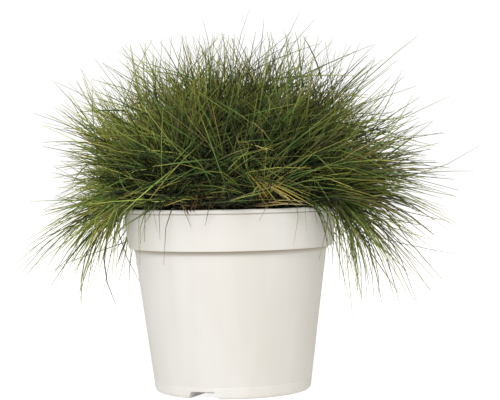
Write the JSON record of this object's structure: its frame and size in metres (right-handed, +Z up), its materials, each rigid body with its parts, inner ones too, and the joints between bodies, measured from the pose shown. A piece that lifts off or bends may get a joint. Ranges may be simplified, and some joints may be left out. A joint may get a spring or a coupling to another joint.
{
  "type": "potted bearskin fescue",
  "caption": "Low cushion of fine needle-leaved grass, arching over the sides of a plain tapered nursery pot with a wide collar.",
  "frame": {"origin": "centre of the pot's flat base, on the pot's axis", "axes": "+Z up along the pot's axis, -Y towards the pictured side, +X to the right of it"},
  "size_m": [0.2467, 0.2226, 0.205],
  "materials": {
    "pot_plastic": "matte",
    "growing_medium": "matte",
    "leaf_centre": "satin",
    "leaf_inner": "satin",
    "leaf_middle": "satin",
    "leaf_outer": "satin",
    "dead_leaf": "matte"
  },
  "bodies": {
    "root": {"pot": "pot_plastic", "growing_medium": "growing_medium", "tuft_centre": "leaf_centre", "tuft_inner_1": "leaf_inner", "tuft_inner_2": "leaf_inner", "tuft_inner_3": "leaf_inner", "tuft_inner_4": "leaf_inner", "tuft_inner_5": "leaf_inner", "tuft_inner_6": "leaf_inner", "tuft_middle_1": "leaf_middle", "tuft_middle_2": "leaf_middle", "tuft_middle_3": "leaf_middle", "tuft_middle_4": "leaf_middle", "tuft_middle_5": "leaf_middle", "tuft_middle_6": "leaf_middle", "tuft_middle_7": "leaf_middle", "tuft_middle_8": "leaf_middle", "tuft_middle_9": "leaf_middle", "tuft_middle_10": "leaf_middle", "tuft_outer_1": "leaf_outer", "tuft_outer_2": "leaf_outer", "tuft_outer_3": "leaf_outer", "tuft_outer_4": "leaf_outer", "tuft_outer_5": "leaf_outer", "tuft_outer_6": "leaf_outer", "tuft_outer_7": "leaf_outer", "tuft_outer_8": "leaf_outer", "tuft_outer_9": "leaf_outer", "tuft_outer_10": "leaf_outer", "tuft_outer_11": "leaf_outer", "tuft_outer_12": "leaf_outer", "straw_wisp_1": "dead_leaf", "straw_wisp_2": "dead_leaf", "straw_wisp_3": "dead_leaf"}
  },
  "joints": []
}
